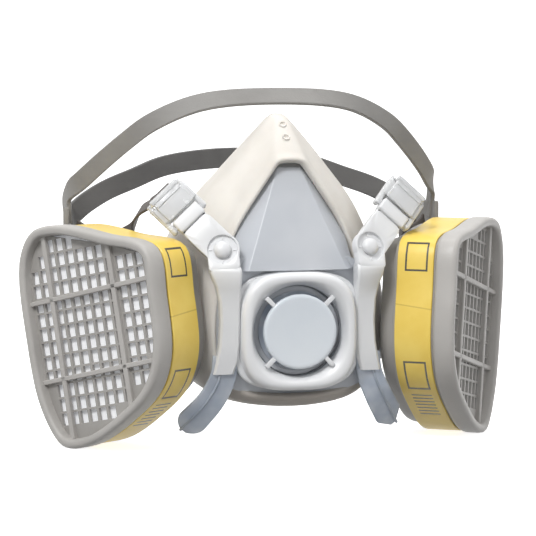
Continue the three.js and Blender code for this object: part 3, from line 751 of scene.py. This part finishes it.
def buildYoke(plan):
    bm = bmesh.new()
    back = [squircleRing(half, 3.4, y, 72) for half, y in plan["ring"]]
    # the ring is wider than it is high, but its hole is nearly even
    for index, (half, y) in enumerate(plan["ring"]):
        lower = 0.885 if half > 21 else 0.98
        back[index] = [(x, y, valveHeight + (z - valveHeight) * lower) for x, y, z in back[index]]
    skin(bm, back, wrap=True)
    for side in sides.values():
        rings = []
        for z, inner, outer, front, lean in plan["armStations"]:
            centre = Vector((side * (inner + outer) / 2, (front + plan["armBack"]) / 2, z))
            section = roundedSection(outer - inner, plan["armBack"] - front, 0.9)
            rings.append([centre + Vector((a, t + (lean * a * side if t < 0 else 0), 0)) for a, t in section])
        skin(bm, rings, caps=True)
        buildUpperArm(bm, plan, elbowPlace(side))
    finishPiece("harnessYoke", bm, "yokePlastic", ["harness_yoke"])
    # dark discs of painted shade at the ends of the slit, standing in for holes
    bm = bmesh.new()
    for side in sides.values():
        u, half = plan["dots"]
        for w in (-half, half):
            turnProfile(bm, [(0, -1.75), (0.55, -1.75), (0.55, -1.2), (0, -1.2)], 16,
                        elbowPlace(side) @ Matrix.Translation((u, 0, w)))
    finishPiece("slitDots", bm, "holePaintedShade")


def buildTail(sideName, plan):
    # translucent strap anchor that flares down from the arm: pointed on the right, round on the left
    side = sides[sideName]
    knots, leans = plan["tail"]
    bm = bmesh.new()
    pointed = side > 0

    def narrowing(share):
        if share < 0.8:
            return 0.84 + share * 0.2
        rest = (share - 0.8) / 0.2
        return 1 - 0.78 * rest if pointed else max(math.sqrt(max(1 - rest * rest, 0)), 0.25)
    mirror = Vector((side, 1, 1))
    knots, leans = ([Vector(point) * mirror for point in points] for points in (knots, leans))
    sweepBand(bm, knots, leans, plan["tailWidth"], plan["tailThickness"], 8, narrowing)
    fold = [point + Vector((side * 1.6, -0.9, 0)) for point in knots]
    sweepBand(bm, fold, leans, 1.1, 0.9, 8)
    finishPiece(sideName + "Tail", bm, "tailFilm")


buildYoke(yokePlan)
for sideName in sides:
    buildTail(sideName, yokePlan)


postPlan = ((0, -4.05), (1.2, -3.98), (2.4, -3.65), (3.2, -3.05), (3.65, -2.3), (3.7, -1.55), (2.6, -1.5),
            (2.6, 1.6), (0, 1.6))


def buildElbowPost(sideName, profile):
    # domed post in the elbow's pocket
    bm = bmesh.new()
    turnProfile(bm, profile, 40, elbowPlace(sides[sideName]))
    finishPiece(sideName + "ElbowPost", bm, "yokePlastic", [sideName + "_elbow_post"])


for sideName in sides:
    buildElbowPost(sideName, postPlan)
print("yoke ready")

# clear buckles, hinged in the yoke's rolled ends

bucklePlan = {"half": 9.6, "rail": 2.4, "back": 18.4, "end": 35.6, "panelStart": 23.6, "panelHalf": 7.1}


def buildBuckle(sideName, plan):
    place = elbowPlace(sides[sideName])
    bm = bmesh.new()
    half, rail, end, start, panel = plan["half"], plan["rail"], plan["end"], plan["panelStart"], plan["panelHalf"]
    for w in (-half, half - rail):
        addBlock(bm, (plan["back"], -2.7, w), (end - 1.5, 1.3, w + rail), 1.1, 4, place)
    # raised panel on a wider sheet, with a ridge and a lip at the far end
    addBlock(bm, (start, -4.4, -panel), (end - 1, -2.9, panel), 0.6, 3, place)
    addBlock(bm, (start + 0.6, -3.3, -half + 0.6), (end - 3.4, -2.0, half - 0.6), 0.5, 3, place)
    addBlock(bm, (end - 2.6, -4.8, -panel - 0.6), (end, -2.6, panel + 0.6), 0.8, 4, place)
    addBlock(bm, (end - 4.6, -4.8, -panel + 0.6), (end - 3.5, -4.1, panel - 0.6), 0.35, 3, place)
    # floor under the strap, strap bar, end bar and hinge bar
    addBlock(bm, (23.4, -1.5, -half + 1), (32.6, -0.5, half - 1), 0.3, 2, place)
    addBlock(bm, (28, -0.7, -half + 1), (30.4, 1.1, half - 1), 0.7, 4, place)
    addBlock(bm, (end - 1.6, -0.9, -half + 0.4), (end, 0.9, half - 0.4), 0.6, 3, place)
    addBlock(bm, (18.9, -2.2, -half + 0.8), (20.9, -0.4, half - 0.8), 0.8, 4, place)
    finishPiece(sideName + "Buckle", bm, "clearPlastic", [sideName + "_buckle"],
                body=sideName + "_tilt")


for sideName in sides:
    buildBuckle(sideName, bucklePlan)
print("buckles ready")

# cartridges: grille cover, filter pad, case and label


def faceRing(inset, depth):
    # the face's outline moved inwards, at a depth behind the face
    plan = cartridgePlan
    points = curvePoints([(a - plan["width"] / 2, depth, b) for a, b in plan["outline"]], 6, closed=True)
    return insetRing(points, inset)


def insideRing(ring, x, z):
    inside = False
    for index, corner in enumerate(ring):
        after = ring[(index + 1) % len(ring)]
        if (corner.z > z) != (after.z > z):
            cut = (after.x - corner.x) * (z - corner.z) / (after.z - corner.z) + corner.x
            inside = inside != (x < cut)
    return inside


def placeRings(side, rows):
    place = cartridgePlace(side)
    return [[place @ point for point in faceRing(inset, depth)] for inset, depth in rows]


def buildLip(sideName):
    bm = bmesh.new()
    rows = ((1.0, 9), (0.3, 8.6), (0.0, 7.6), (0.0, 2.2), (0.25, 0.9), (0.9, 0.2), (1.7, 0), (3.0, 0.1), (3.7, 0.5),
            (4.0, 1.4), (4.5, 6.4), (4.4, 9))
    skin(bm, placeRings(sides[sideName], rows), wrap=True)
    # the rim takes the lighter copy of the case plastic, which is painted light
    finishPiece(sideName + "Rim", bm, "rimPaintedLight", [sideName + "_grille_cover"], sharp=60)


def buildGrille(sideName):
    # a grid of cells; each whole cell inside the rim gets a rectangular hole
    plan = cartridgePlan
    bm = bmesh.new()
    columns, rows = plan["columns"], plan["rows"]
    pitchX, pitchZ = plan["pitch"]
    bmesh.ops.create_grid(bm, x_segments=columns, y_segments=rows, size=0.5)
    x0, z0 = plan["middle"]
    flat = Matrix.Translation((x0, plan["sheetDepth"], z0))
    flat = flat @ Matrix.Diagonal((columns * pitchX, 1, rows * pitchZ, 1))
    bmesh.ops.transform(bm, matrix=flat @ Matrix.Rotation(math.pi / 2, 4, "X"), verts=bm.verts)
    lean = Matrix.Rotation(plan["lean"], 4, "Y")
    limit = [lean.inverted() @ point for point in faceRing(plan["sheetDepth"], 0)]
    halfX, halfZ = plan["hole"][0] / 2, plan["hole"][1] / 2
    margin = plan["margin"]
    cells = []
    for cell in bm.faces:
        middle = cell.calc_center_median()
        corners = [(middle.x + a * halfX, middle.z + b * halfZ) for a in (-1, 1) for b in (-1, 1)]
        if all(insideRing(limit, x, z) for x, z in corners):
            cells.append(cell)
    for cell in cells:
        middle = cell.calc_center_median()
        bmesh.ops.inset_individual(bm, faces=[cell], thickness=margin)
        size = Matrix.Diagonal((2 * halfX / (pitchX - 2 * margin), 1, 2 * halfZ / (pitchZ - 2 * margin), 1))
        shape = Matrix.Translation(middle) @ size @ Matrix.Translation(-middle)
        bmesh.ops.transform(bm, matrix=shape, verts=cell.verts)
    bmesh.ops.delete(bm, geom=cells, context="FACES")
    bmesh.ops.transform(bm, matrix=lean, verts=bm.verts)
    trim = faceRing(plan["trim"], 0)
    for index, corner in enumerate(trim):
        after = trim[(index + 1) % len(trim)]
        outward = Vector((corner.z - after.z, 0, after.x - corner.x))
        middle = Vector((x0, 0, z0))
        if outward.dot(middle - corner) > 0:
            outward.negate()
        bmesh.ops.bisect_plane(bm, geom=bm.verts[:] + bm.edges[:] + bm.faces[:], plane_co=corner,
                               plane_no=outward, clear_outer=True)
    bmesh.ops.transform(bm, matrix=cartridgePlace(sides[sideName]), verts=bm.verts)
    finishPiece(sideName + "Grille", bm, "casePlastic", wall=plan["sheet"], bevel=0.2)


def buildRibs(sideName):
    # two upright and two level ribs, rounded, ending under the rim
    plan = cartridgePlan
    bm = bmesh.new()
    place = cartridgePlace(sides[sideName])
    ring = faceRing(4.0, 0)
    for kind, spots in plan["ribs"].items():
        for at in spots:
            upright = kind == "upright"
            slope = math.tan(plan["lean"]) * (1 if upright else -1.15)
            inside = []
            for tenth in range(-480, 481):
                t = tenth / 10
                x, z = (at + t * slope, t) if upright else (t, at + t * slope)
                if insideRing(ring, x, z):
                    inside.append((x, z))
            (x1, z1), (x2, z2) = inside[0], inside[-1]
            knots = [place @ Vector((x1 + (x2 - x1) * s, plan["ribDepth"], z1 + (z2 - z1) * s))
                     for s in (0, 0.3, 0.7, 1)]
            across = place.to_3x3() @ (Vector((1, 0, 0)) if upright else Vector((0, 0, 1)))
            sweepBand(bm, knots, [across] * 4, 2.5 if upright else 2.1, 2.4, 3)
    # the ribs take the lighter copy of the case plastic, which is painted light
    finishPiece(sideName + "Ribs", bm, "rimPaintedLight")


def buildCase(sideName):
    side = sides[sideName]
    bm = bmesh.new()
    depth = cartridgePlan["depth"]
    rows = ((3.6, 9.2), (1.9, 9.2), (1.6, 9.6), (1.6, 26.6), (1.9, 27.2), (2.9, 27.4), (3.4, 27.8), (3.6, 31.4),
            (4.3, 33), (5.8, 33.8), (8, depth))
    loops = skin(bm, placeRings(side, rows))
    bmesh.ops.edgeloop_fill(bm, edges=loops[-1])
    finishPiece(sideName + "Case", bm, "casePlastic", [sideName + "_cartridge_case"], wall=1.6)
    bm = bmesh.new()
    rows = ((0.95, 10), (0.7, 10.2), (0.62, 10.6), (0.62, 25.4), (0.7, 25.8), (0.95, 26), (1.5, 26), (1.5, 10))
    skin(bm, placeRings(side, rows), wrap=True)
    finishPiece(sideName + "LabelBand", bm, sideName + "Label", [sideName + "_label_band"])
    bm = bmesh.new()
    rows = ((4.7, 8.8), (4.6, 8.4), (4.6, 6.1), (4.9, 5.85), (5.6, 5.8))
    loops = skin(bm, placeRings(side, rows))
    bmesh.ops.edgeloop_fill(bm, edges=loops[-1])
    finishPiece(sideName + "FilterPad", bm, "filterPad", [sideName + "_filter_pad"])


for sideName in sides:
    buildLip(sideName)
    buildGrille(sideName)
    buildRibs(sideName)
    buildCase(sideName)
print("cartridges ready")

# bands and straps as centres and width directions for one half

harnessPlan = {
    "crown": (((82.4, 22, 14), (83, 20, 25.4), (77.5, 9, 34), (62, -4, 50), (51.8, -10, 58.2), (32.4, -17, 66.5),
               (0, -18, 69)),
              ((0, 1, 0), (0.1, 1, 0.1), (0.75, 0.5, 0.55), (0.6, 0.15, 0.75), (0.4, 0.3, 0.85), (0.15, 0.5, 0.85),
               (0, 0.6, 0.8))),
    "back": (((80, 30, 13.6), (77.4, 36, 16), (72.6, 38, 20), (62, 41, 26), (48.5, 45, 31), (32, 50, 36.5),
              (0, 52, 39.5)),
             ((0, 0, 1), (0.1, 0, 1), (0.3, 0, 0.9), (0.3, 0.1, 0.9), (0.2, 0, 1), (0.1, 0, 1), (0, 0, 1))),
    "plate": (81.8, 25, 13.4), "plateTurn": 15,
    "strap": (((79.8, 20, 10.4), (76.5, 15.5, 8), (68, 7, 5.5), (61, -3, 9), (59.6, -10, 15), (60, -18, 19.5),
               (58.6, -27, 23.2)),
              ((0, 0, 1), (0, 0, 1), (0, 0, 1), (-0.1, 0, 1), (-0.3, 0, 0.9), (-0.5, 0, 0.8), (-0.7, 0, 0.7))),
    "loop": ((36.4, 4.2), (36.9, 1.6), (36.2, -1.0), (34.6, -1.6), (33.3, -0.1), (34.0, 1.6), (34.9, 3.0)),
}


def bothSides(half):
    return list(half) + [(-x, y, z) for x, y, z in reversed(half[:-1])]


def buildBand(name, node, look, knots, leans, width):
    bm = bmesh.new()
    sweepBand(bm, bothSides(knots), bothSides(leans), width, 2, 8)
    finishPiece(name, bm, look, [node])


def buildJointPlate(sideName, plan):
    # moulded plate where both bands and the strap meet: two slots, a raised edge, a diagonal line
    bm = bmesh.new()
    place = Matrix.Diagonal((sides[sideName], 1, 1, 1)) @ Matrix.Translation(plan["plate"]) @ Matrix.Rotation(
        math.radians(plan["plateTurn"]), 4, "Z")
    addBlock(bm, (-1.1, -9.8, -7.3), (1.1, 9.8, 7.3), 0.7, 4, place)
    addBlock(bm, (0.2, -9.2, -6.8), (1.5, -7.2, 6.8), 0.5, 3, place)
    lineTurn = place @ Matrix.Rotation(math.radians(32), 4, "X")
    addBlock(bm, (0.3, -8.0, -0.45), (1.45, 9.0, 0.45), 0.35, 2, lineTurn)
    finishPiece(sideName + "JointPlate", bm, "harness", [sideName + "_joint_plate"])
    # the two slots are dark blocks of painted shade, not cut holes
    bm = bmesh.new()
    for z in (-3, 3):
        addBlock(bm, (-1.2, -6.9, z - 1), (1.18, -5.2, z + 1), 0.3, 2, place)
    finishPiece(sideName + "PlateSlots", bm, "holePaintedShade")


def buildSideStrap(sideName, plan):
    # from the joint plate forward, looped inside the buckle's end
    side = sides[sideName]
    mirror = Vector((side, 1, 1))
    place = elbowPlace(side)
    across = place.to_3x3() @ Vector((0, 0, 1))
    across *= -1 if across.z < 0 else 1
    knots = [Vector(k) * mirror for k in plan["strap"][0]] + [place @ Vector((u, v, 0)) for u, v in plan["loop"]]
    leans = [Vector(k) * mirror for k in plan["strap"][1]] + [across] * len(plan["loop"])
    bm = bmesh.new()
    sweepBand(bm, knots, leans, 10, 1.1, 6)
    strap = finishPiece(sideName + "SideStrap", bm, "strapRubber", [sideName + "_side_strap"],
                        body=None)
    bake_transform(strap)


buildBand("crownBand", "crown_band", "harness", *harnessPlan["crown"], 8)
# the back band takes the darker copy of the harness rubber, which is painted shade
buildBand("backBand", "back_band", "backHarnessPaintedShade", *harnessPlan["back"], 9)
for sideName in sides:
    buildJointPlate(sideName, harnessPlan)
    buildSideStrap(sideName, harnessPlan)
print("harness ready")

# frame nodes that keep their shape

kept = {"exhalation_seat": "centreShell"}
for sideName in sides:
    kept.update({sideName + "_inlet_port": "centreShell", sideName + "_inhalation_flap": "flapRubber",
                 sideName + "_sorbent_bed": "sorbent", sideName + "_back_scrim": "filterPad"})
for node, look in kept.items():
    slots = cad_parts[node].data.materials
    slots.clear()
    slots.append(looks[look])

# pale paper floor that curves up into a wall all round

floorPlan = {"radius": 3.4, "height": 4.2, "curve": 1.6, "steps": 96}


def buildFloor(plan):
    shader = Shader("paper")
    drift = shader.ramp(shader.noise(2, 2), 0.3, 0.7)
    paper = shader.finish({
        "Base Color": shader.mix(drift, (0.93, 0.93, 0.93, 1), (0.95, 0.95, 0.95, 1)), "Roughness": 0.95,
        "Specular IOR Level": 0.0, "Emission Color": (1, 1, 1, 1), "Emission Strength": 0.8})
    low = min(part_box(sideName + "_grille_cover")[0].z for sideName in sides)
    bm = bmesh.new()
    radius, curve = plan["radius"], plan["curve"]
    profile = [bm.verts.new((x, 0, z)) for x, z in ((0, low), (radius, low), (radius, plan["height"]))]
    for pair in zip(profile, profile[1:]):
        bm.edges.new(pair)
    bmesh.ops.bevel(bm, geom=[profile[1]], offset=curve, segments=20, profile=0.5, affect="VERTICES", material=-1)
    bmesh.ops.spin(bm, geom=bm.verts[:] + bm.edges[:], cent=(0, 0, 0), axis=(0, 0, 1), angle=math.tau,
                   steps=plan["steps"], use_merge=True)
    bmesh.ops.remove_doubles(bm, verts=bm.verts, dist=0.0001)
    bmesh.ops.recalc_face_normals(bm, faces=bm.faces)
    bmesh.ops.reverse_faces(bm, faces=bm.faces)
    floor = meshObject("floor", bm)
    floor.data.polygons.foreach_set("use_smooth", [True] * len(floor.data.polygons))
    floor.data.materials.append(paper)
    floor.visible_diffuse = False  # the paper doesn't throw light back up


buildFloor(floorPlan)
print("floor ready")
